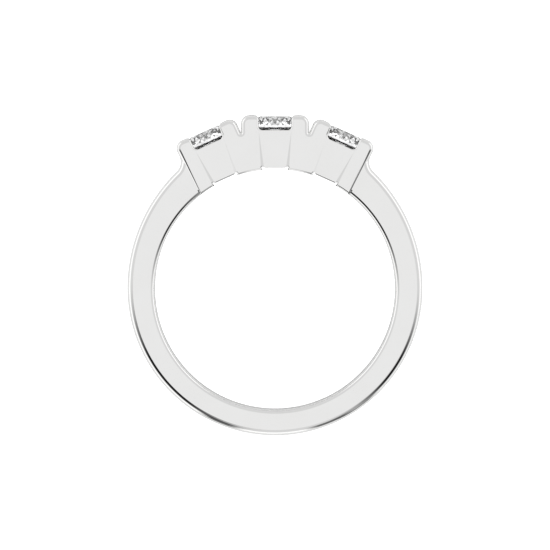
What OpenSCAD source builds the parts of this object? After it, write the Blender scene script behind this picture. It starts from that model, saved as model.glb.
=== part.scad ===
// Three stone ring: a plain shank that carries three heads with four claws each,
// soldered up as one piece of metal, and three round brilliant cut stones.
// The finger goes through along Z, the middle stone looks along +Y, and the
// centre of the finger hole is the origin. "Out" below means away from that centre.

/* [Finger hole] */
// Inside diameter of the ring
finger_d = 17.2; // [15:0.1:21]
// Radius that eases both mouths of the finger hole
inner_edge_r = 0.3; // [0.1:0.01:0.4]

/* [Shank] */
// Width of the shank along the finger
shank_w = 4.5; // [3:0.1:4.5]
// Wall of the shank at its back, opposite the stones
back_wall = 1.83; // [1.3:0.01:2.2]
// Wall of the shank at its two sides
side_wall = 1.95; // [1.4:0.01:2.3]
// How much larger the outside radius is over the shoulders than lower down
shoulder_flare = 0.97; // [0.4:0.01:1.4]
// Radius of the long outer edges
outer_edge_r = 0.37; // [0.1:0.01:0.5]
// Radius of the hollow where a shoulder runs up the wall of a side head
shoulder_fillet_r = 1; // [0.5:0.01:1.3]

/* [Stones] */
// Diameter of each stone at its girdle
stone_d = 4; // [3.5:0.05:4.3]
// Width of the table, as a percentage of the stone's diameter
table_percent = 56; // [53:0.5:63]
// Angle between the main crown facets and the girdle plane
crown_angle = 34.5; // [32:0.1:36]
// Angle between the main pavilion facets and the girdle plane
pavilion_angle = 41; // [40:0.1:42]
// Thickness of the girdle at the main facets, as a percentage of the diameter
girdle_percent = 4.7; // [3:0.1:5.5]
// Length of the star facets, as a percentage of the way from table edge to girdle
star_percent = 50; // [45:1:60]
// Length of the lower girdle facets, as a percentage of the way from girdle to culet
lower_percent = 77; // [70:1:85]

/* [Heads] */
// Height of the underside of the girdles above the finger hole
girdle_h = 2.97; // [2.75:0.01:3.4]
// Metal beside the girdle of the middle stone
middle_wall = 0.43; // [0.38:0.01:0.65]
// Metal beside the girdle of each side stone
side_head_wall = 0.36; // [0.32:0.01:0.6]
// Metal in front of the girdles and behind them, along the finger
front_wall = 0.3; // [0.25:0.01:0.5]
// How far below the girdles the walls of neighbouring heads meet
notch_drop = 0.45; // [0.3:0.01:0.6]
// Lean of the outermost walls, in degrees
wall_lean = 4; // [1:0.5:7]
// Radius of the upright corners
corner_r = 0.3; // [0.1:0.01:0.35]

/* [Claws] */
// Width of a claw along the row of stones
claw_w = 1.26; // [1.1:0.01:1.35]
// Depth of a claw along the finger
claw_d = 1.12; // [0.95:0.01:1.2]
// How far the claws stand above the tables of the stones
claw_proud = 0.07; // [0.05:0.01:0.25]
// Radius of the claw tips, seen from the front
claw_tip_r = 0.58; // [0.2:0.01:0.62]
// Radius of the claw tips, seen from the side
claw_tip_side_r = 0.4; // [0.2:0.01:0.6]
// How far the rails between the claws lie below the girdles
rail_drop = 0.17; // [0.12:0.01:0.3]
// Radius in the lower corners of the gaps between the claws
gap_corner_r = 0.29; // [0.05:0.01:0.35]

/* [Panels] */
// Width of the panel between two claws where it meets the finger hole
panel_foot_w = 1.72; // [1.2:0.01:2.1]
// How deep the foot of a panel lies behind the faces of the claws
panel_recess = 0.1; // [0.04:0.01:0.2]
// How far the foot of a panel stays short of the finger hole
panel_lift = 0.09; // [0.03:0.01:0.15]
// Width of the small nicks between a panel's foot and the claws
nick_w = 0.26; // [0.15:0.01:0.35]
// Depth of those nicks along the finger
nick_depth = 0.5; // [0.2:0.01:0.7]

/* [Seats] */
// Clear space between a stone and the metal
stone_gap = 0.04; // [0.02:0.005:0.08]
// Diameter of the opening under each stone
basket_d = 2.5; // [1.6:0.05:2.7]

/* [Hidden] */
$fn = 96;
// Overrun of every cutter past what it cuts
over = 1;
// How far the shoulder fillet's round cuts into what it meets
fillet_bite = 0.01;

// Shank: the lower half is round about a centre a little above the finger hole's,
// and over each shoulder a larger circle carries it on without a corner
finger_r = finger_d / 2;
lower_r = finger_r + side_wall;
lower_y = side_wall - back_wall;
upper_r = lower_r + shoulder_flare;
shank_half_w = shank_w / 2;

// Stone, measured from the underside of its girdle: 8 main facets all round, and
// 4 points of the girdle to each of them
stone_r = stone_d / 2;
mains = 8;
girdle_points = 4 * mains;
main_angle = 360 / mains;
half_angle = main_angle / 2;
quarter_angle = main_angle / 4;
table_r = stone_r * table_percent / 100;
table_edge_r = table_r * cos(half_angle);
girdle_t = stone_d * girdle_percent / 100;
table_z = girdle_t + (stone_r - table_r) * tan(crown_angle);
star_r = table_edge_r + (stone_r - table_edge_r) * star_percent / 100;
star_z = girdle_t + (stone_r - star_r * cos(half_angle)) * tan(crown_angle);
upper_slope = (star_z - girdle_t) / ((stone_r - star_r) * cos(quarter_angle));
tip_r = stone_r * (1 - lower_percent / 100);
tip_z = -(stone_r - tip_r * cos(half_angle)) * tan(pavilion_angle);
lower_slope = -tip_z / ((stone_r - tip_r) * cos(quarter_angle));
scallop = stone_r * (1 - cos(quarter_angle));
culet_z = -stone_r * tan(pavilion_angle);
// Slopes of the steepest edges of crown and pavilion, which the seats clear
crown_steep = atan((star_z - girdle_t) / (stone_r - star_r));
pavilion_steep = atan(-tip_z / (stone_r - tip_r));

// Heights out from the centre of the finger hole
girdle_y = finger_r + girdle_h;
table_y = girdle_y + table_z;
claw_top_y = table_y + claw_proud;
rail_y = girdle_y - rail_drop;
notch_y = girdle_y - notch_drop;
root_y = finger_r - over;

// Heads: half widths along the row, half depth along the finger, and the angle
// between neighbours at which their walls meet at the bottom of the notch
middle_half = stone_r + middle_wall;
side_half = stone_r + side_head_wall;
head_half_d = stone_r + front_wall;
pitch = atan(middle_half / notch_y) + atan(side_half / notch_y);

module at_middle() {
    children();
}

module at_right() {
    rotate([0, 0, -pitch]) children();
}

module at_left() {
    mirror([1, 0, 0]) at_right() children();
}

// A rectangle centred on the origin with round corners
module round_rectangle(width, depth, radius) {
    square([width - 2 * radius, depth], center = true);
    square([width, depth - 2 * radius], center = true);
    for (x = [-1, 1]) {
        for (y = [-1, 1]) {
            translate([x * (width / 2 - radius), y * (depth / 2 - radius)]) circle(radius);
        }
    }
}

// A round disc along Z whose rim has eased edges
module eased_disc(radius) {
    rotate_extrude() {
        intersection() {
            round_rectangle(2 * radius, shank_w, outer_edge_r);
            translate([0, -shank_w]) square([radius + over, 2 * shank_w]);
        }
    }
}

// What is taken off to ease both mouths of a round hole along Z
module mouth_easing(radius, half_w, edge) {
    for (side = [0, 1]) {
        mirror([0, 0, side]) {
            rotate_extrude() {
                difference() {
                    translate([0, half_w - edge]) square([radius + edge, over + edge]);
                    translate([radius + edge, half_w - edge]) circle(edge);
                }
            }
        }
    }
}

// One half of the shank's outside above the sides, to the right
module shoulder() {
    intersection() {
        translate([-shoulder_flare, lower_y, 0]) eased_disc(upper_r);
        translate([0, lower_y, -shank_w]) cube([2 * upper_r, 2 * upper_r, 2 * shank_w]);
        rotate([0, 0, -pitch]) translate([0, 0, -shank_w]) cube([2 * upper_r, 2 * upper_r, 2 * shank_w]);
    }
}

// The shank from head to head, round the back of the finger
module shank() {
    difference() {
        union() {
            intersection() {
                translate([0, lower_y, 0]) eased_disc(lower_r);
                translate([-2 * lower_r, lower_y - 2 * lower_r, -shank_w])
                    cube([4 * lower_r, 2 * lower_r, 2 * shank_w]);
            }
            shoulder();
            mirror([1, 0, 0]) shoulder();
        }
        mouth_easing(finger_r, shank_half_w, inner_edge_r);
    }
}

// Outline of a head from the front: upright on the left, leaning in on the right
module head_outline(left, right, lean) {
    drop = claw_top_y - root_y;
    intersection() {
        polygon([
            [-left, root_y],
            [right - drop * tan(lean), root_y],
            [right, claw_top_y],
            [-left, claw_top_y]
        ]);
        translate([(right - left) / 2, claw_top_y - drop])
            round_rectangle(left + right, 2 * drop, claw_tip_r);
    }
}

// Outline of a head from the side, with its claw tips round
module head_side_outline() {
    drop = claw_top_y - root_y;
    translate([0, claw_top_y - drop])
        round_rectangle(2 * head_half_d, 2 * drop, claw_tip_side_r);
}

// A post along Y with round upright corners and one wall on the plane X = 0
module rounded_post(width) {
    translate([-width / 2, -2 * claw_top_y, 0]) rotate([-90, 0, 0])
        linear_extrude(4 * claw_top_y) round_rectangle(width, 2 * head_half_d, corner_r);
}

// A head before its stone and claws are cut: walls on the left, right and lean given
module head_block(left, right, lean) {
    reach = 2 * (left + right);
    intersection() {
        linear_extrude(4 * head_half_d, center = true) head_outline(left, right, lean);
        rotate([0, 90, 0]) linear_extrude(2 * reach, center = true) head_side_outline();
        translate([right, claw_top_y, 0]) rotate([0, 0, -lean]) rounded_post(reach);
        mirror([1, 0, 0]) translate([left, claw_top_y, 0]) rounded_post(reach);
    }
}

// A gap between claws, across the head along Z
module claw_gap(half_w) {
    top = claw_top_y + over;
    linear_extrude(4 * head_half_d, center = true)
        translate([0, top]) round_rectangle(2 * half_w, 2 * (top - rail_y), gap_corner_r);
}

// The space of a stone with its clearance, and the opening below it
module seat() {
    wide = stone_r + stone_gap;
    low = girdle_y + stone_gap * tan(pavilion_steep) - stone_gap / cos(pavilion_steep);
    high = girdle_y + girdle_t - stone_gap * tan(crown_steep) + stone_gap / cos(crown_steep);
    rotate([-90, 0, 0]) {
        rotate_extrude() {
            polygon([
                [0, low - wide * tan(pavilion_steep)],
                [wide, low],
                [wide, high],
                [0, high + wide * tan(crown_steep)]
            ]);
        }
        translate([0, 0, root_y - over]) cylinder(d = basket_d, h = rail_y - root_y);
    }
}

// What is taken off a head's front and back to set its panels in
module panel_relief(gap_half) {
    foot_y = finger_r + panel_lift;
    slope = atan(panel_recess / (rail_y - finger_r));
    for (side = [0, 1]) {
        mirror([0, 0, side]) {
            intersection() {
                linear_extrude(2 * head_half_d) polygon([
                    [-gap_half, rail_y],
                    [gap_half, rail_y],
                    [panel_foot_w / 2, root_y],
                    [-panel_foot_w / 2, root_y]
                ]);
                translate([-2 * gap_half, rail_y, head_half_d]) rotate([-slope, 0, 0])
                    translate([0, -2 * claw_top_y, 0]) cube([4 * gap_half, 4 * claw_top_y, over]);
            }
            for (nick = [-1, 1]) {
                translate([nick * panel_foot_w / 2, foot_y, head_half_d - nick_depth])
                    cylinder(d = nick_w, h = over);
            }
        }
    }
    translate([-panel_foot_w / 2, root_y, -2 * head_half_d])
        cube([panel_foot_w, foot_y - root_y, 4 * head_half_d]);
}

// All that is cut out of one head
module head_cuts(narrow_half) {
    gap_half = narrow_half - claw_w;
    claw_gap(gap_half);
    rotate([0, 90, 0]) claw_gap(head_half_d - claw_d);
    seat();
    panel_relief(gap_half);
}

// The hollow between a shoulder and the leaning wall of the right head: a patch of
// metal on the flat of the shank's outside, less a round that runs into both
module shoulder_fillet() {
    // The round's centre lies this far off the wall and off the shoulder's circle
    off = shoulder_fillet_r - fillet_bite;
    wall = rotated([side_half, claw_top_y], -pitch);
    along = rotated([0, 1], -pitch - wall_lean);
    out = rotated([1, 0], -pitch - wall_lean);
    circle_centre = [-shoulder_flare, lower_y];
    base = wall + out * off - circle_centre;
    b = base * along;
    c = base * base - (upper_r + off) * (upper_r + off);
    centre = wall + out * off + along * (sqrt(b * b - c) - b);
    from_arc = centre - circle_centre;
    on_wall = centre - out * off;
    on_arc = centre - from_arc * off / norm(from_arc);
    inside = on_wall - (out + 2 * along) * off;
    difference() {
        linear_extrude(shank_w - 2 * outer_edge_r, center = true)
            polygon([centre, on_wall, inside, on_arc]);
        translate([centre[0], centre[1], 0])
            cylinder(r = shoulder_fillet_r, h = 2 * shank_w, center = true);
    }
}

function rotated(p, a) = [p[0] * cos(a) - p[1] * sin(a), p[0] * sin(a) + p[1] * cos(a)];

module ring_metal() {
    color("gainsboro") difference() {
        union() {
            shank();
            shoulder_fillet();
            mirror([1, 0, 0]) shoulder_fillet();
            difference() {
                union() {
                    at_middle() head_block(middle_half, middle_half, 0);
                    at_right() head_block(side_half, side_half, wall_lean);
                    at_left() head_block(side_half, side_half, wall_lean);
                }
                mouth_easing(finger_r, head_half_d, inner_edge_r);
            }
        }
        cylinder(r = finger_r, h = 4 * head_half_d, center = true);
        at_middle() head_cuts(middle_half);
        at_right() head_cuts(side_half);
        at_left() head_cuts(side_half);
    }
}

// A round of points, one to each main facet
function ring_of(start, radius, z) = [
    for (k = [0:mains - 1]) [
        radius * cos(start + k * main_angle),
        radius * sin(start + k * main_angle),
        z
    ]
];

// A round of points on the girdle that bulges by lift at every second point
function girdle_of(z, lift) = [
    for (k = [0:girdle_points - 1]) [
        stone_r * cos(k * quarter_angle),
        stone_r * sin(k * quarter_angle),
        z + (k % 2) * lift
    ]
];

// A round brilliant along Z, the underside of its girdle at Z = 0: the table, 8 star,
// 8 kite and 16 upper girdle facets above, 16 lower girdle and 8 main facets below
module brilliant() {
    table = 0;
    star = table + mains;
    upper = star + mains;
    lower = upper + girdle_points;
    tip = lower + girdle_points;
    culet = tip + mains;
    last = mains - 1;
    round_about = [0:last];
    points = concat(
        ring_of(0, table_r, table_z),
        ring_of(half_angle, star_r, star_z),
        girdle_of(girdle_t, -scallop * upper_slope),
        girdle_of(0, scallop * lower_slope),
        ring_of(half_angle, tip_r, tip_z),
        [[0, 0, culet_z]]
    );
    faces = concat(
        [[for (k = [last:-1:0]) table + k]],
        [for (k = round_about) [table + k, table + (k + 1) % mains, star + k]],
        [for (k = round_about) [table + k, star + k, upper + 4 * k, star + (k + last) % mains]],
        [for (k = round_about) [star + k, upper + 4 * k + 2, upper + 4 * k + 1, upper + 4 * k]],
        [for (k = round_about) [
            star + k,
            upper + (4 * k + 4) % girdle_points,
            upper + 4 * k + 3,
            upper + 4 * k + 2
        ]],
        [for (k = [0:girdle_points - 1]) [
            upper + k,
            upper + (k + 1) % girdle_points,
            lower + (k + 1) % girdle_points,
            lower + k
        ]],
        [for (k = round_about) [tip + k, lower + 4 * k, lower + 4 * k + 1, lower + 4 * k + 2]],
        [for (k = round_about) [
            tip + k,
            lower + 4 * k + 2,
            lower + 4 * k + 3,
            lower + (4 * k + 4) % girdle_points
        ]],
        [for (k = round_about) [culet, tip + (k + last) % mains, lower + 4 * k, tip + k]]
    );
    polyhedron(points, faces);
}

// A stone in its seat, an edge of its table towards each face of the head
module seated_stone() {
    color("aliceblue") translate([0, girdle_y, 0]) rotate([-90, half_angle, 0]) brilliant();
}

module stone_left() {
    at_left() seated_stone();
}

module stone_middle() {
    at_middle() seated_stone();
}

module stone_right() {
    at_right() seated_stone();
}

ring_metal();
stone_left();
stone_middle();
stone_right();
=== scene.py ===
"""Looks of the three stone ring: its metal with fine round edges, its stones, the studio and the camera."""

import math

import bpy
from mathutils import Matrix, Vector


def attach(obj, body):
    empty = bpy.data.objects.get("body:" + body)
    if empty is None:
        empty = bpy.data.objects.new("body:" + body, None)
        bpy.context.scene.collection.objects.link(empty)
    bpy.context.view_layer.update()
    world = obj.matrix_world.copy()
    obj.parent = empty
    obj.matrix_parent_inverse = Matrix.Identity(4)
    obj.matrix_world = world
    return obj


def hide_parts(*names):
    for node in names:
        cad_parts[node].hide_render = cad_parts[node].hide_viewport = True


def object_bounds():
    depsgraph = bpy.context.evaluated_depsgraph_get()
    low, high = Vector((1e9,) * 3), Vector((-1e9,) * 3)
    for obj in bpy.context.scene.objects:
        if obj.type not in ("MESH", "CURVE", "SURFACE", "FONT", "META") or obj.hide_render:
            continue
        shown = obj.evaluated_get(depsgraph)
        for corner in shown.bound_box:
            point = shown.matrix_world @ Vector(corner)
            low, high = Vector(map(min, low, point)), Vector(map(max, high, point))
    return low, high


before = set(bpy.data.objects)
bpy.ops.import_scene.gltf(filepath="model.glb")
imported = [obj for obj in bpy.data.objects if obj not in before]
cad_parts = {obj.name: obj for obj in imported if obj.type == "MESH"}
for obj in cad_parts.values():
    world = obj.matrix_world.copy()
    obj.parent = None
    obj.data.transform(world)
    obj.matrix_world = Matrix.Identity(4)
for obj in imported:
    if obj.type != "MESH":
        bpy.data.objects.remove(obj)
cad_low, cad_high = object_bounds()

# Sizes of the ring in millimetres, as in the part's source
FINGER_R = 8.6
SHANK_W = 4.5
LOWER_R = 10.55
LOWER_Y = 0.12
FLARE = 0.97
UPPER_R = LOWER_R + FLARE
FILLET_R = 1.0
HEAD_HALF_D = 2.3
MIDDLE_HALF = 2.43
SIDE_HALF = 2.36
CLAW_W = 1.26
CLAW_D = 1.12
CLAW_TOP = 12.433
RAIL = 11.4
NOTCH = 11.12
WALL_LEAN = 4
STONE_R = 2.0
GIRDLE = 11.57
GIRDLE_T = 0.188
SEAT_GAP = 0.04
CROWN_STEEPEST = math.radians(40.4)
PAVILION_STEEPEST = math.radians(41.6)
BASKET_R = 1.25
PANEL_FOOT_HALF = 0.86
PANEL_RECESS = 0.1
PANEL_LIFT = 0.09
# How far the steps beside a panel lean outwards, for each millimetre of their height: on the left
# and right heads' sides that look at the middle head, and elsewhere
LEFT_INNER_LEAN = 1.7
RIGHT_INNER_LEAN = 1.3
STEP_LEAN = 2.2
NICK_R = 0.12
NICK_LIFT = 0.07
NICK_MOUTH_ROUND = 0.1
NOTCH_ROUND = 0.02
PITCH = math.degrees(math.atan(MIDDLE_HALF / NOTCH) + math.atan(SIDE_HALF / NOTCH))
# How far each head is turned about the finger hole, and half the gap between its left and right claws
HEADS = ((0, MIDDLE_HALF - CLAW_W), (-PITCH, SIDE_HALF - CLAW_W), (PITCH, SIDE_HALF - CLAW_W))

# Roundings that the polish leaves
HEAD_OUTER_ROUND = 0.31
SHANK_OUTER_ROUND = 0.42
HOLE_ROUND = 0.3
HEAD_HOLE_ROUND = 0.15
GAP_MOUTH_ROUND = 0.17
RAIL_ROUND = 0.08
FOOT_ROUND = 0.1
TIP_OUTER_R = 0.58
TIP_INNER_R = 0.34
GAP_CORNER_R = 0.29

# Cuts leave no faces narrower than this
SLIVER = 0.0004
# Points nearer than this count as one when edges are picked
SAME = 0.001
# Cutters run this far past what they cut
OVER = 1.0
MOUTH_OVER = 0.5
SEAT_OVER = 1.4
# Length of the gap between front and back claws along the row, past both ends of a head
SIDE_GAP_LENGTH = 6.4
# Inside a head's wall: how far the shank's blind end reaches in at its top and at its foot, how far
# it stays off the wall of the finger hole, and how far in it comes down to that hole
BLIND_TOP = 0.5
BLIND_FOOT = 0.35
BLIND_LIFT = 0.4
BLIND_STEP = 0.03
# The shoulders lie above this height, the rest of the shank below it
SHOULDER_Y = 4

# Steps in roundings and arcs
ROUND_STEPS = 8
TIP_STEPS = 10
NOTCH_STEPS = 6
FILLET_STEPS = 14
LOWER_STEPS = 160
UPPER_STEPS = 100
BORE_STEPS = 224
HEAD_BORE_STEPS = 60
SEAT_SIDES = 96
NICK_SIDES = 32


def turned(point, degrees):
    """A point in the ring's plane turned about the centre of the finger hole."""
    a = math.radians(degrees)
    x, y = point
    return (x * math.cos(a) - y * math.sin(a), x * math.sin(a) + y * math.cos(a))


# Drawing outlines in edit mode with one vertex as the pen

pen = [0.0, 0.0]


def put_pen(name, point):
    bpy.ops.object.select_all(action="DESELECT")
    bpy.ops.mesh.primitive_plane_add(size=1, location=(0, 0, 0))
    bpy.context.object.name = name
    bpy.ops.object.mode_set(mode="EDIT")
    bpy.ops.mesh.select_mode(type="VERT")
    bpy.ops.mesh.select_all(action="SELECT")
    bpy.ops.mesh.merge(type="CENTER")
    bpy.ops.transform.translate(value=(point[0], point[1], 0))
    pen[:] = point


def line_to(point):
    step = (point[0] - pen[0], point[1] - pen[1], 0)
    bpy.ops.mesh.extrude_vertices_move(TRANSFORM_OT_translate={"value": step})
    pen[:] = point


def arc_about(centre, degrees, steps):
    """Draws an arc about a centre, anticlockwise where degrees is positive."""
    bpy.ops.mesh.spin(
        steps=steps, angle=-math.radians(degrees), center=(centre[0], centre[1], 0), axis=(0, 0, 1)
    )
    x, y = turned((pen[0] - centre[0], pen[1] - centre[1]), degrees)
    pen[:] = (centre[0] + x, centre[1] + y)


def corner_arc(before, corner, after, radius, steps):
    """Draws up to a corner and round it, between the points before and after it."""
    a = (Vector(before) - Vector(corner)).normalized()
    b = (Vector(after) - Vector(corner)).normalized()
    half = a.angle(b) / 2
    back = radius / math.tan(half)
    start = Vector(corner) + a * back
    centre = Vector(corner) + (a + b).normalized() * radius / math.sin(half)
    side = 1 if a.x * b.y - a.y * b.x < 0 else -1
    line_to(tuple(start))
    arc_about(tuple(centre), side * (180 - 2 * math.degrees(half)), steps)


def mirror_and_fill():
    """Mirrors the half outline to the left and fills it; its face is left selected in edit mode."""
    bpy.ops.object.mode_set(mode="OBJECT")
    bpy.ops.object.modifier_add(type="MIRROR")
    mirror = bpy.context.object.modifiers[-1]
    mirror.merge_threshold = 0.0001
    bpy.ops.object.modifier_apply(modifier=mirror.name)
    bpy.ops.object.mode_set(mode="EDIT")
    bpy.ops.mesh.select_all(action="SELECT")
    bpy.ops.mesh.remove_doubles(threshold=0.0001)
    bpy.ops.mesh.edge_face_add()


def solid_from_outline(width):
    """Makes a solid of the half outline, with a width along the finger."""
    mirror_and_fill()
    bpy.ops.transform.translate(value=(0, 0, -width / 2))
    bpy.ops.mesh.extrude_region_move(TRANSFORM_OT_translate={"value": (0, 0, width)})
    bpy.ops.mesh.select_all(action="SELECT")
    bpy.ops.mesh.normals_make_consistent(inside=False)
    bpy.ops.object.mode_set(mode="OBJECT")
    return bpy.context.object


def bevel_edges(piece, chosen, width, segments):
    """Rounds the edges whose two ends answer to the test."""
    bpy.context.tool_settings.mesh_select_mode = (False, True, False)
    mesh = piece.data
    for polygon in mesh.polygons:
        polygon.select = False
    for vertex in mesh.vertices:
        vertex.select = False
    for edge in mesh.edges:
        a, b = (mesh.vertices[i].co for i in edge.vertices)
        edge.select = chosen(a, b)
    bpy.ops.object.mode_set(mode="EDIT")
    bpy.ops.mesh.bevel(
        offset=width, offset_type="OFFSET", segments=segments, profile=0.5, affect="EDGES",
        clamp_overlap=False, miter_outer="SHARP", loop_slide=False,
    )
    bpy.ops.object.mode_set(mode="OBJECT")


def combine(piece, tool, how):
    """Unites the piece with the tool or cuts it out of the piece; the tool is used up."""
    modifier = piece.modifiers.new(how.lower(), "BOOLEAN")
    modifier.operation = how
    modifier.object = tool
    modifier.solver = "EXACT"
    bpy.ops.object.select_all(action="DESELECT")
    bpy.context.view_layer.objects.active = piece
    bpy.ops.object.modifier_apply(modifier=modifier.name)
    bpy.data.objects.remove(tool)
    bpy.ops.object.mode_set(mode="EDIT")
    bpy.ops.mesh.select_all(action="SELECT")
    bpy.ops.mesh.remove_doubles(threshold=SLIVER)
    bpy.ops.mesh.dissolve_degenerate(threshold=SLIVER)
    bpy.ops.object.mode_set(mode="OBJECT")


def turn_in_place(degrees):
    """Turns the piece in hand about the centre of the finger hole."""
    bpy.context.object.rotation_euler = (0, 0, math.radians(degrees))
    bpy.ops.object.transform_apply(location=True, rotation=True, scale=True)


def row_of_heads():
    """The three heads as one block with rounded faces, and the gaps that leave four claws on each."""
    right_wall = lambda u: SIDE_HALF - (CLAW_TOP - u) * math.tan(math.radians(WALL_LEAN))
    on_right = lambda v, u: turned((v, u), -PITCH)
    apex = (MIDDLE_HALF, NOTCH)

    put_pen("row_of_heads", (0, CLAW_TOP))
    corner_arc((0, CLAW_TOP), (MIDDLE_HALF, CLAW_TOP), apex, TIP_OUTER_R, TIP_STEPS)
    left_low = on_right(-SIDE_HALF, NOTCH)
    left_top = on_right(-SIDE_HALF, CLAW_TOP)
    right_top = on_right(SIDE_HALF, CLAW_TOP)
    corner_arc((MIDDLE_HALF, CLAW_TOP), apex, left_top, NOTCH_ROUND, NOTCH_STEPS)
    corner_arc(left_low, left_top, right_top, TIP_OUTER_R, TIP_STEPS)
    # The leaning wall's foot on the finger hole, closed in on step by step
    u = CLAW_TOP
    for _ in range(20):
        u = math.sqrt(FINGER_R**2 - right_wall(u) ** 2)
    foot = on_right(right_wall(u), u)
    corner_arc(left_top, right_top, foot, TIP_OUTER_R, TIP_STEPS)
    line_to(foot)
    span = 90 - math.degrees(math.atan2(foot[1], foot[0]))
    arc_about((0, 0), span, HEAD_BORE_STEPS)
    block = solid_from_outline(2 * HEAD_HALF_D)

    def rim(a, b, on_hole):
        if abs(a.z - b.z) > SAME or abs(a.z) < HEAD_HALF_D - SAME:
            return False
        return on_hole == (max(Vector(a.xy).length, Vector(b.xy).length) < FINGER_R + SAME)

    bevel_edges(block, lambda a, b: rim(a, b, False), HEAD_OUTER_ROUND, ROUND_STEPS)
    bevel_edges(block, lambda a, b: rim(a, b, True), HEAD_HOLE_ROUND, ROUND_STEPS)
    for tilt, gap_half in HEADS:
        combine(block, face_gap(tilt, gap_half), "DIFFERENCE")
        combine(block, side_gap(tilt), "DIFFERENCE")
    return block


def widening(depth, radius):
    """How far a round edge has opened a cut at a depth below the face."""
    inward = max(radius - depth, 0)
    return radius - math.sqrt(radius**2 - inward**2)


def cut_with_round_mouths(face, radius, grown, about):
    """Draws the filled outline in hand out along the finger, wider at the front and back faces.

    grown gives how many times as wide and as high the outline is at a depth below the face.
    """
    depths = [radius * (1 - math.cos(math.radians(a))) for a in (15, 30, 45, 60, 75, 90)]
    mouth = [(face + MOUTH_OVER, 0)] + [(face - d, d) for d in depths]
    sections = [(-z, d) for z, d in mouth] + [(z, d) for z, d in reversed(mouth)]
    at, wide, high = 0, 1, 1
    for z, depth in sections:
        new_wide, new_high = grown(depth)
        if at == 0:
            bpy.ops.transform.translate(value=(0, 0, z))
        else:
            bpy.ops.mesh.extrude_region_move(TRANSFORM_OT_translate={"value": (0, 0, z - at)})
        bpy.ops.transform.resize(
            value=(new_wide / wide, new_high / high, 1), center_override=(0, about, z)
        )
        at, wide, high = z, new_wide, new_high
    bpy.ops.mesh.select_all(action="SELECT")
    bpy.ops.mesh.normals_make_consistent(inside=False)
    bpy.ops.object.mode_set(mode="OBJECT")


def face_gap(tilt, half):
    """The gap between left and right claws, across the head."""
    top = CLAW_TOP + OVER
    put_pen("face_gap", (0, RAIL))
    corner_arc((0, RAIL), (half, RAIL), (half, CLAW_TOP), GAP_CORNER_R, ROUND_STEPS)
    line_to((half, CLAW_TOP - TIP_INNER_R))
    arc_about((half + TIP_INNER_R, CLAW_TOP - TIP_INNER_R), -90, ROUND_STEPS)
    line_to((half + TIP_INNER_R, top))
    line_to((0, top))
    mirror_and_fill()

    def grown(depth):
        wider = 1 + widening(depth, GAP_MOUTH_ROUND) / half
        return wider, 1 + widening(depth, RAIL_ROUND) / (top - RAIL)

    cut_with_round_mouths(HEAD_HALF_D, GAP_MOUTH_ROUND, grown, top)
    turn_in_place(tilt)
    return bpy.context.object


def side_gap(tilt):
    """The gap between front and back claws, along the row of stones, with round lower corners."""
    top = CLAW_TOP + OVER
    bpy.ops.object.select_all(action="DESELECT")
    bpy.ops.mesh.primitive_cube_add(size=1, location=(0, (RAIL + top) / 2, 0))
    gap = bpy.context.object
    gap.scale = (SIDE_GAP_LENGTH, top - RAIL, 2 * (HEAD_HALF_D - CLAW_D))
    bpy.ops.object.transform_apply(location=True, rotation=True, scale=True)
    lower = lambda a, b: abs(a.x - b.x) > SIDE_GAP_LENGTH / 2 and a.y < RAIL + SAME
    bevel_edges(gap, lower, GAP_CORNER_R, ROUND_STEPS)
    turn_in_place(tilt)
    return gap


def shank():
    """The shank round the back of the finger, from one side head to the other, with hollow shoulders."""
    wall_top = turned((SIDE_HALF, CLAW_TOP), -PITCH)
    along = Vector(turned((0, 1), -PITCH - WALL_LEAN))
    out = Vector(turned((1, 0), -PITCH - WALL_LEAN))
    circle = Vector((-FLARE, LOWER_Y))
    base = Vector(wall_top) + out * FILLET_R - circle
    b = base.dot(along)
    c = base.dot(base) - (UPPER_R + FILLET_R) ** 2
    centre = Vector(wall_top) + out * FILLET_R + along * (math.sqrt(b * b - c) - b)
    on_wall = centre - out * FILLET_R
    from_arc = centre - circle
    arc_end = math.degrees(math.atan2(from_arc.y, from_arc.x))
    wall_side = centre - on_wall
    fillet_turn = math.degrees((-from_arc).angle(-wall_side))

    put_pen("shank", (0, LOWER_Y - LOWER_R))
    arc_about((0, LOWER_Y), 90, LOWER_STEPS)
    arc_about(tuple(circle), arc_end, UPPER_STEPS)
    arc_about(tuple(centre), -fillet_turn, FILLET_STEPS)
    # Inside the head's wall the shank ends blind, clear of the finger hole's own wall
    line_to(tuple(on_wall - out * BLIND_TOP))
    wall_foot = Vector(wall_meets_hole(wall_top, along))
    inside = (wall_foot - out * BLIND_FOOT).normalized()
    near = (wall_foot - out * BLIND_STEP).normalized()
    line_to(tuple(inside * (FINGER_R + BLIND_LIFT)))
    line_to(tuple(near * (FINGER_R + BLIND_LIFT)))
    line_to(tuple(near * FINGER_R))
    turn = -90 - math.degrees(math.atan2(near.y, near.x))
    arc_about((0, 0), turn, BORE_STEPS)
    band = solid_from_outline(SHANK_W)

    def rim(a, b, inner):
        if abs(a.z - b.z) > SAME or abs(a.z) < SHANK_W / 2 - SAME:
            return False
        if max(abs(Vector(a.xy).length - FINGER_R), abs(Vector(b.xy).length - FINGER_R)) < SAME:
            return inner
        if inner:
            return False
        for point in (a, b):
            p = Vector((abs(point.x), point.y))
            if (p - Vector(wall_top)).dot(out) < -SAME and p.y > SHOULDER_Y:
                return False
        return True

    bevel_edges(band, lambda a, b: rim(a, b, False), SHANK_OUTER_ROUND, ROUND_STEPS)
    bevel_edges(band, lambda a, b: rim(a, b, True), HOLE_ROUND, ROUND_STEPS)
    return band


def wall_meets_hole(wall_top, along):
    """Where the outermost wall of the right head comes down to the finger hole."""
    w = Vector(wall_top)
    b = w.dot(along)
    c = w.dot(w) - FINGER_R**2
    return tuple(w + along * (-b + math.sqrt(b * b - c)))


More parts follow.
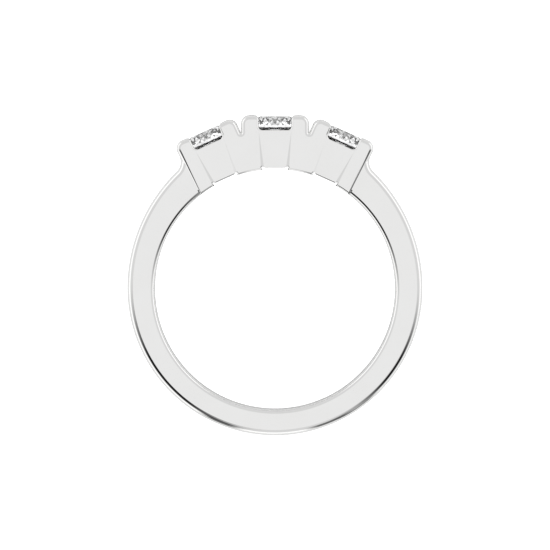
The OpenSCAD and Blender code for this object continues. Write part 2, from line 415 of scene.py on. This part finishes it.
def seat_tool(tilt):
    """The room of a stone with its clearance, and the opening under it."""
    wide = STONE_R + SEAT_GAP
    low = GIRDLE + SEAT_GAP * (math.tan(PAVILION_STEEPEST) - 1 / math.cos(PAVILION_STEEPEST))
    high = GIRDLE + GIRDLE_T - SEAT_GAP * (math.tan(CROWN_STEEPEST) - 1 / math.cos(CROWN_STEEPEST))
    bpy.ops.object.select_all(action="DESELECT")
    bpy.ops.mesh.primitive_cylinder_add(
        vertices=SEAT_SIDES, radius=wide, depth=high - low,
        location=(0, (high + low) / 2, 0), rotation=(math.radians(-90), 0, 0),
    )
    tool = bpy.context.object
    bpy.ops.object.transform_apply(location=True, rotation=True, scale=True)
    bpy.ops.object.mode_set(mode="EDIT")
    bpy.ops.mesh.select_all(action="DESELECT")
    bpy.ops.object.mode_set(mode="OBJECT")
    for face in tool.data.polygons:
        face.select = face.normal.y > 0.9
    bpy.ops.object.mode_set(mode="EDIT")
    bpy.ops.mesh.select_mode(type="FACE")
    rise = wide * math.tan(CROWN_STEEPEST)
    bpy.ops.mesh.extrude_region_move(TRANSFORM_OT_translate={"value": (0, rise, 0)})
    bpy.ops.mesh.merge(type="CENTER")
    bpy.ops.object.mode_set(mode="OBJECT")
    for face in tool.data.polygons:
        face.select = face.normal.y < -0.9
    bpy.ops.object.mode_set(mode="EDIT")
    bpy.ops.mesh.select_mode(type="FACE")
    drop = (wide - BASKET_R) * math.tan(PAVILION_STEEPEST)
    bpy.ops.mesh.extrude_region_move(TRANSFORM_OT_translate={"value": (0, -drop, 0)})
    k = BASKET_R / wide
    bpy.ops.transform.resize(value=(k, 1, k), center_override=(0, low - drop, 0))
    on_down = FINGER_R - SEAT_OVER - low + drop
    bpy.ops.mesh.extrude_region_move(TRANSFORM_OT_translate={"value": (0, on_down, 0)})
    bpy.ops.mesh.select_all(action="SELECT")
    bpy.ops.mesh.normals_make_consistent(inside=False)
    bpy.ops.object.mode_set(mode="OBJECT")
    turn_in_place(tilt)
    return tool


def panel_tool(tilt, side, gap_half):
    """The slope that sets a panel in from the faces of the claws on one side of a head."""
    root = FINGER_R - OVER
    ceiling = HEAD_HALF_D + OVER
    drop = PANEL_RECESS * (RAIL - root) / (RAIL - FINGER_R)
    inner_lean = LEFT_INNER_LEAN if tilt > 0 else RIGHT_INNER_LEAN
    bpy.ops.object.select_all(action="DESELECT")
    bpy.ops.mesh.primitive_cube_add(size=1, location=(0, 0, 0))
    tool = bpy.context.object
    for vertex in tool.data.vertices:
        up = vertex.co.y > 0
        near = vertex.co.z > 0
        floor = HEAD_HALF_D - (0 if up else drop)
        lean = inner_lean if vertex.co.x * tilt > 0 else STEP_LEAN
        half = gap_half if up else PANEL_FOOT_HALF - lean * PANEL_RECESS
        if near:
            half += lean * (ceiling - floor)
        vertex.co.x = math.copysign(half, vertex.co.x)
        vertex.co.y = RAIL if up else root
        vertex.co.z = side * (ceiling if near else floor)
    if side < 0:
        bpy.ops.object.mode_set(mode="EDIT")
        bpy.ops.mesh.select_all(action="SELECT")
        bpy.ops.mesh.flip_normals()
        bpy.ops.object.mode_set(mode="OBJECT")
    turn_in_place(tilt)
    return tool


def nick_tool(tilt, end):
    """The round channel from front to back that a file leaves between a panel's foot and a claw."""
    centre = FINGER_R + NICK_LIFT
    bpy.ops.object.select_all(action="DESELECT")
    bpy.ops.mesh.primitive_circle_add(
        vertices=NICK_SIDES, radius=NICK_R, fill_type="NGON", location=(0, centre, 0)
    )
    bpy.ops.object.transform_apply(location=True, rotation=True, scale=True)
    bpy.ops.object.mode_set(mode="EDIT")
    bpy.ops.mesh.select_all(action="SELECT")

    def grown(depth):
        wider = 1 + widening(depth, NICK_MOUTH_ROUND) / NICK_R
        return wider, wider

    cut_with_round_mouths(HEAD_HALF_D - PANEL_RECESS / 2, NICK_MOUTH_ROUND, grown, centre)
    bpy.ops.transform.translate(value=(end * PANEL_FOOT_HALF, 0, 0))
    bpy.ops.object.transform_apply(location=True, rotation=True, scale=True)
    turn_in_place(tilt)
    return bpy.context.object


def foot_tool(tilt):
    """Keeps the foot of both panels of a head short of the finger hole, with its edge eased."""
    top = FINGER_R + PANEL_LIFT
    root = top - OVER
    put_pen("foot_tool", (0, root))
    line_to((PANEL_FOOT_HALF, root))
    line_to((PANEL_FOOT_HALF, top))
    line_to((0, top))
    mirror_and_fill()

    def grown(depth):
        return 1, 1 + widening(depth, FOOT_ROUND)

    cut_with_round_mouths(HEAD_HALF_D - PANEL_RECESS, FOOT_ROUND, grown, root)
    turn_in_place(tilt)
    return bpy.context.object


def ring_metal():
    metal = row_of_heads()
    metal.name = "ring_in_white_gold"
    combine(metal, shank(), "UNION")
    for tilt, gap_half in HEADS:
        combine(metal, seat_tool(tilt), "DIFFERENCE")
        combine(metal, foot_tool(tilt), "DIFFERENCE")
        for side in (-1, 1):
            combine(metal, panel_tool(tilt, side, gap_half), "DIFFERENCE")
            combine(metal, nick_tool(tilt, side), "DIFFERENCE")
    return metal


def to_metres(piece):
    bpy.ops.object.select_all(action="DESELECT")
    piece.select_set(True)
    bpy.context.view_layer.objects.active = piece
    piece.scale = (0.001, 0.001, 0.001)
    bpy.ops.object.transform_apply(location=True, rotation=True, scale=True)


# Faces that meet at less than this are shaded as one, and how firmly large flats keep their own shade
SMOOTH_BELOW = math.radians(24)
FLAT_WEIGHT = 50


def polish_smooth(piece):
    """Smooth shading with flats that stay flat."""
    bpy.ops.object.select_all(action="DESELECT")
    piece.select_set(True)
    bpy.context.view_layer.objects.active = piece
    bpy.ops.object.shade_smooth_by_angle(angle=SMOOTH_BELOW)
    bpy.ops.object.modifier_add(type="WEIGHTED_NORMAL")
    weighted = piece.modifiers[-1]
    weighted.mode = "FACE_AREA"
    weighted.weight = FLAT_WEIGHT
    weighted.keep_sharp = True
    bpy.ops.object.modifier_apply(modifier=weighted.name)


# Materials


def node(tree, kind, place=(0, 0), **settings):
    made = tree.nodes.new(kind)
    made.location = place
    for key, value in settings.items():
        setattr(made, key, value)
    return made


def ranged(tree, value, low, high, start=0.0, end=1.0, place=(0, 0)):
    """A value that goes from low to high while the value given goes from start to end."""
    made = node(tree, "ShaderNodeMapRange", place)
    for socket, number in zip(made.inputs[1:5], (start, end, low, high)):
        socket.default_value = number
    tree.links.new(value, made.inputs[0])
    return made.outputs[0]


def summed(tree, a, b, place=(0, 0)):
    made = node(tree, "ShaderNodeMath", place, operation="ADD")
    tree.links.new(a, made.inputs[0])
    tree.links.new(b, made.inputs[1])
    return made.outputs[0]


def tinted(tree, mask, plain, tint, place=(0, 0)):
    """A colour that goes from plain to tint with a mask."""
    made = node(tree, "ShaderNodeMix", place, data_type="RGBA")
    made.inputs["A"].default_value = (*plain, 1)
    made.inputs["B"].default_value = (*tint, 1)
    tree.links.new(mask, made.inputs["Factor"])
    return made.outputs["Result"]


def polish_marks():
    """What a polishing mop leaves: broad clouding, and fine hairlines in two directions.

    Both sizes are in marks to the metre.
    """
    group = bpy.data.node_groups.new("polish_marks", "ShaderNodeTree")
    sockets = (
        ("Cloud Size", "INPUT", 500), ("Hairline Size", "INPUT", 1200),
        ("Clouding", "OUTPUT", 0), ("Hairlines", "OUTPUT", 0),
    )
    for name, side, value in sockets:
        socket = group.interface.new_socket(name=name, in_out=side, socket_type="NodeSocketFloat")
        socket.default_value = value
    given = node(group, "NodeGroupInput", (-900, 0))
    put_out = node(group, "NodeGroupOutput", (500, 0))
    coords = node(group, "ShaderNodeTexCoord", (-900, 300))

    cloud = node(group, "ShaderNodeTexNoise", (-300, 300))
    cloud.inputs["Detail"].default_value = 3
    group.links.new(coords.outputs["Object"], cloud.inputs["Vector"])
    group.links.new(given.outputs["Cloud Size"], cloud.inputs["Scale"])
    clouding = ranged(group, cloud.outputs[0], 0, 1, 0.3, 0.7, (0, 300))
    group.links.new(clouding, put_out.inputs["Clouding"])

    lines = []
    for row, turn in enumerate((35, -50)):
        along = node(group, "ShaderNodeMapping", (-600, -300 * row))
        along.inputs["Rotation"].default_value = [math.radians(a) for a in (turn, 20, turn)]
        along.inputs["Scale"].default_value = (18, 1, 18)
        group.links.new(coords.outputs["Object"], along.inputs["Vector"])
        streak = node(group, "ShaderNodeTexNoise", (-300, -300 * row))
        streak.inputs["Detail"].default_value = 1
        group.links.new(along.outputs[0], streak.inputs["Vector"])
        group.links.new(given.outputs["Hairline Size"], streak.inputs["Scale"])
        lines.append(ranged(group, streak.outputs[0], 0, 1, 0.66, 0.74, (0, -300 * row)))
    group.links.new(summed(group, *lines, (250, -100)), put_out.inputs["Hairlines"])
    return group


def marks_on(tree, marks, cloud_size, hairline_size):
    placed = node(tree, "ShaderNodeGroup", (-900, 0), node_tree=marks)
    placed.inputs["Cloud Size"].default_value = cloud_size
    placed.inputs["Hairline Size"].default_value = hairline_size
    return placed.outputs["Clouding"], placed.outputs["Hairlines"]


# White gold, first where its polish is clear and then where it is clouded
GOLD_COLOURS = ((0.905, 0.905, 0.9), (0.893, 0.891, 0.884))
GOLD_ROUGHNESS = (0.035, 0.06)
# Roughness that a hairline adds, and the wall of the finger hole
GOLD_HAIRLINE = 0.03
GOLD_BORE = 0.07
# The hole's softer shine ends between these distances out from its wall, in metres
BORE_EDGE = (0.000004, 0.00002)

# A stone in the same two states
STONE_COLOURS = ((1, 1, 1), (0.985, 0.99, 1))
STONE_ROUGHNESS = (0, 0.002)
STONE_HAIRLINE = 0.006
STONE_IOR = 2.417


def white_gold(marks):
    """Mirror polish with faint clouding and hairlines, and a softer shine in the finger hole."""
    material = bpy.data.materials.new("polished_white_gold")
    material.use_nodes = True
    tree = material.node_tree
    shader = tree.nodes["Principled BSDF"]
    shader.inputs["Metallic"].default_value = 1
    clouding, hairlines = marks_on(tree, marks, 420, 1100)

    colour = tinted(tree, clouding, *GOLD_COLOURS, (-300, 300))
    tree.links.new(colour, shader.inputs["Base Color"])

    coords = node(tree, "ShaderNodeTexCoord", (-1300, -300))
    in_plane = node(tree, "ShaderNodeVectorMath", (-1100, -300), operation="MULTIPLY")
    in_plane.inputs[1].default_value = (1, 1, 0)
    from_axis = node(tree, "ShaderNodeVectorMath", (-900, -300), operation="LENGTH")
    tree.links.new(coords.outputs["Object"], in_plane.inputs[0])
    tree.links.new(in_plane.outputs[0], from_axis.inputs[0])
    bore = 0.001 * FINGER_R
    start, end = (bore + out for out in BORE_EDGE)
    softer = ranged(tree, from_axis.outputs["Value"], GOLD_BORE, 0, start, end, (-700, -300))
    cloudy = ranged(tree, clouding, *GOLD_ROUGHNESS, place=(-600, 0))
    marked = ranged(tree, hairlines, 0, GOLD_HAIRLINE, place=(-600, -150))
    rough = summed(tree, summed(tree, cloudy, marked, (-400, -50)), softer, (-250, -100))
    tree.links.new(rough, shader.inputs["Roughness"])

    bump = node(tree, "ShaderNodeBump", (-250, -300))
    bump.inputs["Strength"].default_value = 0.15
    bump.inputs["Distance"].default_value = 0.000002
    tree.links.new(hairlines, bump.inputs["Height"])
    tree.links.new(bump.outputs[0], shader.inputs["Normal"])
    return material


def clear_stone(marks):
    """A colourless stone with a breath of tint, its facets all but free of polish marks."""
    material = bpy.data.materials.new("clear_stone")
    material.use_nodes = True
    tree = material.node_tree
    shader = tree.nodes["Principled BSDF"]
    shader.inputs["Transmission Weight"].default_value = 1
    shader.inputs["IOR"].default_value = STONE_IOR
    clouding, hairlines = marks_on(tree, marks, 700, 2500)
    colour = tinted(tree, clouding, *STONE_COLOURS, (-300, 300))
    tree.links.new(colour, shader.inputs["Base Color"])
    cloudy = ranged(tree, clouding, *STONE_ROUGHNESS, place=(-600, 0))
    marked = ranged(tree, hairlines, 0, STONE_HAIRLINE, place=(-600, -150))
    tree.links.new(summed(tree, cloudy, marked, (-400, -100)), shader.inputs["Roughness"])
    return material


# Studio: angles in degrees, heights counted from straight overhead

# Brightness of the tent overhead and farther out, and where the one passes into the other
TENT_OVERHEAD = 0.895
TENT_WALL = 0.74
TENT_EDGE = (7, 12)
# A brighter band near the horizon: what it adds, where it rises and fades, and its gap over the stones
RIM_ADDS = 0.42
RIM_RISE = (52, 66)
RIM_FADE = (92, 112)
RIM_GAP_AT = 90
RIM_GAP_EDGE = (28, 44)
# How much brighter the tent is for light that comes through the stones
STONE_BOOST = 1.35

# Dark flags: azimuth, half width, softness, where they begin and where they end, and depth
FLAGS = (
    (-138, 10, 34, (5, 14), (44, 70), 0.99),
    (-36, 4, 32, (8, 28), (54, 90), 0.99),
    (-112, 3, 8, (26, 44), (84, 104), 0.85),
    (-68, 4, 8, (30, 50), (76, 96), 0.85),
    (-56, 4, 8, (58, 74), (98, 112), 0.75),
)

# The softbox over the floor, in metres and watts
SOFTBOX_HEIGHT = 0.4
SOFTBOX_SIZE = 0.8
SOFTBOX_POWER = 6
# How brightly the floor glows in the picture, in the metal and, on top of that, through the stones
FLOOR_IN_PICTURE = 0.95
FLOOR_IN_METAL = 0.15
FLOOR_IN_STONES = 0.75
FLOOR_GREY = 0.3
FLOOR_SIZE = 1.2


def studio_light():
    """A light tent all round, grey overhead and below, with dark flags between its front panels."""
    world = bpy.data.worlds.new("studio")
    bpy.context.scene.world = world
    world.use_nodes = True
    tree = world.node_tree
    tree.nodes.clear()
    out = node(tree, "ShaderNodeOutputWorld")
    background = node(tree, "ShaderNodeBackground")
    tree.links.new(background.outputs[0], out.inputs[0])
    coords = node(tree, "ShaderNodeTexCoord")
    split = node(tree, "ShaderNodeSeparateXYZ")
    tree.links.new(coords.outputs["Generated"], split.inputs[0])

    def maths(kind, a, b=None):
        m = node(tree, "ShaderNodeMath", operation=kind)
        for socket, value in zip(m.inputs, (a, b)):
            if value is None:
                continue
            if isinstance(value, (int, float)):
                socket.default_value = value
            else:
                tree.links.new(value, socket)
        return m.outputs[0]

    def step(value, start, end, low=0.0, high=1.0):
        """Goes smoothly from low at start to high at end."""
        m = node(tree, "ShaderNodeMapRange", interpolation_type="SMOOTHSTEP")
        for socket, number in zip(m.inputs[1:5], (start, end, low, high)):
            socket.default_value = number
        tree.links.new(value, m.inputs[0])
        return m.outputs[0]

    down = maths("DEGREES", maths("ARCCOSINE", split.outputs["Z"]))
    round_about = maths("DEGREES", maths("ARCTAN2", split.outputs["Y"], split.outputs["X"]))

    def off(azimuth):
        """How far a direction lies from an azimuth, in degrees, round the circle."""
        turned_back = maths("SUBTRACT", round_about, azimuth)
        wrapped = maths("WRAP", turned_back, 180)
        tree.nodes[-1].inputs[2].default_value = -180
        return maths("ABSOLUTE", wrapped)

    def times(*values):
        result = values[0]
        for value in values[1:]:
            result = maths("MULTIPLY", result, value)
        return result

    def flag(azimuth, half_width, soft, top, bottom, depth):
        """A dark strip from top to bottom, in degrees from straight overhead."""
        across = step(off(azimuth), half_width, half_width + soft, 1, 0)
        upper = step(down, *top, 0, 1)
        lower = step(down, *bottom, 1, 0)
        return maths("SUBTRACT", 1, times(across, upper, lower, depth))

    tent = step(down, *TENT_EDGE, TENT_OVERHEAD, TENT_WALL)
    rim = step(down, *RIM_RISE, 0, 1)
    rim = times(rim, step(down, *RIM_FADE, 1, 0), step(off(RIM_GAP_AT), *RIM_GAP_EDGE, 0, 1))
    level = maths("ADD", tent, times(rim, RIM_ADDS))
    for one in FLAGS:
        level = maths("MULTIPLY", level, flag(*one))
    through = node(tree, "ShaderNodeLightPath").outputs["Is Transmission Ray"]
    level = maths("MULTIPLY", level, step(through, 0, 1, 1, STONE_BOOST))
    tree.links.new(level, background.inputs["Strength"])
    background.inputs["Color"].default_value = (1, 1, 1, 1)


def overhead_softbox():
    """A wide soft light that lights the floor and isn't seen in the metal."""
    bpy.ops.object.light_add(type="AREA", location=(0, 0, SOFTBOX_HEIGHT))
    light = bpy.context.object
    light.name = "overhead_softbox"
    light.data.size = SOFTBOX_SIZE
    light.data.energy = SOFTBOX_POWER
    light.visible_camera = False
    light.visible_glossy = False
    light.visible_transmission = False


def pale_floor(z):
    bpy.ops.mesh.primitive_plane_add(size=FLOOR_SIZE, location=(0, 0, z))
    floor = bpy.context.object
    floor.name = "floor"
    bpy.ops.object.transform_apply(location=True, rotation=True, scale=True)
    material = bpy.data.materials.new("pale_floor")
    material.use_nodes = True
    tree = material.node_tree
    shader = tree.nodes["Principled BSDF"]
    shader.inputs["Base Color"].default_value = (FLOOR_GREY, FLOOR_GREY, FLOOR_GREY, 1)
    shader.inputs["Roughness"].default_value = 0.9
    shader.inputs["Specular IOR Level"].default_value = 0
    shader.inputs["Emission Color"].default_value = (1, 1, 1, 1)
    seen = node(tree, "ShaderNodeLightPath", (-700, 0))
    camera_ray, stone_ray = (seen.outputs[name] for name in ("Is Camera Ray", "Is Transmission Ray"))
    plain = ranged(tree, camera_ray, FLOOR_IN_METAL, FLOOR_IN_PICTURE, place=(-400, 0))
    through = ranged(tree, stone_ray, 0, FLOOR_IN_STONES, place=(-400, -300))
    tree.links.new(summed(tree, plain, through, (-200, 0)), shader.inputs["Emission Strength"])
    floor.data.materials.append(material)
    return floor


# Camera: almost straight down on the ring, a touch from the side of its stones

PICTURE = 550
PIXEL = 0.0716 * 0.001
DISTANCE = 1.0
SENSOR = 36
LEAN = math.radians(1.1)
# The finger hole's centre lies this many pixels below the middle of the frame
HOLE_BELOW = 14.0


def photo_camera():
    bpy.ops.object.camera_add()
    camera = bpy.context.object
    camera.name = "photo_camera"
    camera.data.type = "PERSP"
    camera.data.sensor_width = SENSOR
    camera.data.lens = SENSOR * DISTANCE / (PICTURE * PIXEL)
    away = Vector((0, math.sin(LEAN), math.cos(LEAN)))
    up = Vector((0, math.cos(LEAN), -math.sin(LEAN)))
    target = up * HOLE_BELOW * PIXEL
    camera.location = target + away * DISTANCE
    right = Vector((1, 0, 0))
    turn = Matrix((right, up, away)).transposed()
    camera.rotation_euler = turn.to_euler()
    camera.data.clip_start = 0.01
    camera.data.clip_end = 10
    bpy.context.scene.camera = camera
    return camera


photo_camera()
studio_light()
overhead_softbox()
pale_floor(cad_low.z)

marks = polish_marks()
gold = white_gold(marks)
metal = ring_metal()
to_metres(metal)
polish_smooth(metal)
metal.data.materials.clear()
metal.data.materials.append(gold)
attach(metal, "root")
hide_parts("ring_metal")

stone = clear_stone(marks)
for name in ("stone_left", "stone_middle", "stone_right"):
    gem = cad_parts[name]
    gem.data.materials.clear()
    gem.data.materials.append(stone)

scene = bpy.context.scene
scene.view_settings.view_transform = "Standard"
scene.view_settings.look = "None"
